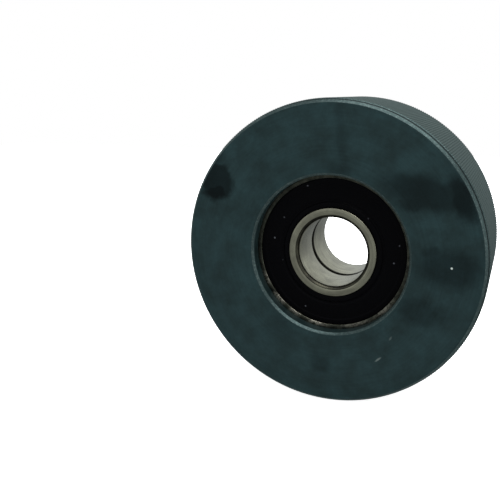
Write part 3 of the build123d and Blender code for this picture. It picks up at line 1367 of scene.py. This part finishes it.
    def seal_outline(self, side: int) -> list[Corner]:
        """A seal's cross-section: a lip ring, a flexing groove, a dished web and a snap bead.

        Args:
            side: 1 for the seal towards +Y, -1 for the other one.

        Returns:
            The outline's corners.
        """
        outside = self.half_width - self.seal_recess
        inside = outside - self.seal_thickness
        core, web = inside + self.core_thickness, outside - self.web_drop
        groove, (start, end) = outside - self.flex_depth, self.flex_groove
        lip, edge = self.inner_land + self.lip_gap, self.seat - self.seal_gap
        web_end = self.core_outer - self.web_slope - self.web_drop
        bead = self.half_width - self.seat_depth * 5 / 8
        corners = [
            Corner(lip, outside - 0.2, 0.06),
            Corner(lip + 0.25, outside, 0.15),
            Corner(start, outside, 0.2),
            Corner(start + self.flex_slope, groove, 0.12),
            Corner(end - self.flex_slope, groove, 0.12),
            Corner(end, web, 0.12),
            Corner(web_end, web, 0.12),
            Corner(web_end + self.web_slope, outside, 0.1),
            Corner(edge, outside, 0.15),
            Corner(edge, bead + self.bead_half, 0.05),
            Corner(self.snap - self.seal_gap, bead, 0.1),
            Corner(edge, bead - self.bead_half),
            Corner(edge, inside, 0.08),
            Corner(self.core_outer, inside),
            Corner(self.core_outer, core),
            Corner(self.core_inner, core),
            Corner(self.core_inner, inside),
            Corner(lip, inside, 0.1),
        ]
        return [Corner(c.radius, self.middle + side * c.place, c.rounding) for c in corners]

    def core_outline(self, side: int) -> list[Corner]:
        """The cross-section of a seal's flat steel core.

        Args:
            side: 1 for the seal towards +Y, -1 for the other one.

        Returns:
            The outline's corners.
        """
        inside = self.half_width - self.seal_recess - self.seal_thickness
        near, far = self.core_inner + self.core_gap, self.core_outer - self.core_gap
        low, high = inside + self.core_gap, inside + self.core_thickness - self.core_gap
        places = ((near, low), (far, low), (far, high), (near, high))
        return [Corner(radius, self.middle + side * place, 0.05) for radius, place in places]

    def seals(self) -> None:
        """Both rubber seals and the steel cores inside them."""
        for label, side in (("front", -1), ("rear", 1)):
            start = f"{self.name}_bearing_{label}"
            rubber = turned(f"{start}_lip_seal", self.seal_outline(side), self.columns, 4)
            dress(rubber, Shelf.NITRILE.material())
            settle(rubber, "pulley", "seal_rubber", f"{start}_seal")
            disc = turned(f"{start}_seal_stiffener", self.core_outline(side), self.columns)
            dress(disc, Shelf.PRESSED_SHEET.material())
            settle(disc, "pulley", "core_steel", f"{start}_seal_core")

    def build(self) -> None:
        """Builds every piece of the bearing."""
        self.outer_ring()
        self.inner_ring()
        self.balls()
        self.cage()
        self.seals()


# ---------------------------------------------------------------- studio


@dataclass(frozen=True)
class Softbox:
    """A rectangular studio light that looks at the object.

    Args:
        name: The light's name.
        azimuth: Where it stands, in degrees, 0 in front and 90 on the +X side.
        elevation: How high it stands, in degrees.
        distance: How far it is from the object, in metres.
        width: Its width, in metres.
        height: Its height, in metres.
        radiance: How bright its cloth is, where 1 looks white.
    """

    name: str
    azimuth: float
    elevation: float
    distance: float
    width: float
    height: float
    radiance: float


@dataclass(frozen=True)
class Studio:
    """A pale floor lit through from below, soft lights, a plain surround and the camera."""

    floor_level: float
    azimuth: float = 18.94
    elevation: float = 10.61
    distance: float = 0.17676
    off_axis: tuple[float, float] = (0.01411, 0.00562)
    lens: float = 49.26
    shift: tuple[float, float] = (-0.0834, -0.0614)
    floor_size: float = 1.3
    boxes: tuple[Softbox, ...] = (
        Softbox("overhead_softbox", azimuth=60, elevation=72, distance=1.2, width=1.3,
                height=1.3, radiance=4.2),
        Softbox("right_softbox", azimuth=76, elevation=3, distance=1.0, width=0.5,
                height=0.6, radiance=1.3),
    )

    def floor(self) -> None:
        """A white sheet, lit from below so no shadow shows, and kept out of reflections."""
        bpy.ops.object.select_all(action="DESELECT")
        bpy.ops.mesh.primitive_plane_add(size=self.floor_size,
                                         location=(0, 0, self.floor_level))
        sheet = bpy.context.object
        sheet.name = "studio_floor"
        sheet.visible_glossy = False
        material = bpy.data.materials.new("matt_white_paper")
        material.use_nodes = True
        tree = material.node_tree
        fill(tree, tree.nodes["Principled BSDF"],
             {"Base Color": linear("#f6f6f6"), "Roughness": 0.9,
              "Emission Color": linear("#ffffff"), "Emission Strength": 0.9})
        sheet.data.materials.append(material)

    def surround(self) -> None:
        """A plain surround: dim below, brighter above, and white where it is looked at."""
        world = bpy.data.worlds.new("studio_surround")
        bpy.context.scene.world = world
        world.use_nodes = True
        tree = world.node_tree
        tree.nodes.clear()
        add = partial(add_node, tree)
        direction = add("TexCoord").outputs["Generated"]
        height = add("SeparateXYZ", {"Vector": direction}).outputs["Z"]
        above = add("MapRange", {"Value": height, "From Min": -0.4, "From Max": 0.3},
                    interpolation_type="SMOOTHSTEP")
        tone = add("Mix", {"Factor": above.outputs["Result"], MIX_A: linear("#8b8f90"),
                           MIX_B: linear("#e4e9ea")}, data_type="RGBA")
        soft = add("Background", {"Color": tone.outputs[MIX_OUT], "Strength": 1.0})
        white = add("Background", {"Color": (1, 1, 1, 1), "Strength": 1.0})
        seen = add("LightPath").outputs["Is Camera Ray"]
        mix = add("MixShader", {0: seen, 1: soft.outputs[0], 2: white.outputs[0]})
        add("OutputWorld", {"Surface": mix.outputs[0]})

    def direction(self, azimuth: float, elevation: float) -> Vector:
        """The direction from the object towards a light or the camera.

        Args:
            azimuth: Where it stands, in degrees, 0 in front and 90 on the +X side.
            elevation: How high it stands, in degrees.

        Returns:
            The unit direction.
        """
        a, e = math.radians(azimuth), math.radians(elevation)
        return Vector((math.sin(a) * math.cos(e), -math.cos(a) * math.cos(e), math.sin(e)))

    def lights(self) -> None:
        """Hangs every softbox."""
        for box in self.boxes:
            data = bpy.data.lights.new(box.name, "AREA")
            data.shape, data.size, data.size_y = "RECTANGLE", box.width, box.height
            data.energy = box.radiance * math.pi * box.width * box.height
            lamp = bpy.data.objects.new(box.name, data)
            bpy.context.scene.collection.objects.link(lamp)
            towards = self.direction(box.azimuth, box.elevation)
            lamp.location = towards * box.distance
            lamp.rotation_euler = towards.to_track_quat("Z", "Y").to_euler()

    def camera(self) -> None:
        """The camera, level and at the view's angle, with the object right of its middle."""
        data = bpy.data.cameras.new("view_camera")
        data.lens, data.clip_start = self.lens, 10 * MM
        data.shift_x, data.shift_y = self.shift
        camera = bpy.data.objects.new("view_camera", data)
        bpy.context.scene.collection.objects.link(camera)
        back = self.direction(self.azimuth, self.elevation)
        turn = back.to_track_quat("Z", "Y")
        right, up = turn @ Vector((1, 0, 0)), turn @ Vector((0, 1, 0))
        camera.location = (back * self.distance - right * self.off_axis[0]
                           + up * self.off_axis[1])
        camera.rotation_euler = turn.to_euler()
        bpy.context.scene.camera = camera

    def build(self) -> None:
        """Sets up the whole studio."""
        self.camera()
        self.floor()
        self.surround()
        self.lights()
        bpy.context.scene.view_settings.view_transform = "Standard"


def main() -> None:
    """Builds the studio and every sub-assembly."""
    logging.basicConfig(level=logging.INFO, format="%(relativeCreated)d ms: %(message)s")
    bore = next(mount for mount in frame["record"]["mounts"] if mount["name"] == "bore")
    Studio(floor_level=cad_box[0].z).build()
    Pulley().build()
    Circlip().build()
    for name in ("front", "rear"):
        BallBearing(name, bore["dims"]["r_mm"]).build()


if __name__ == "__main__":
    main()
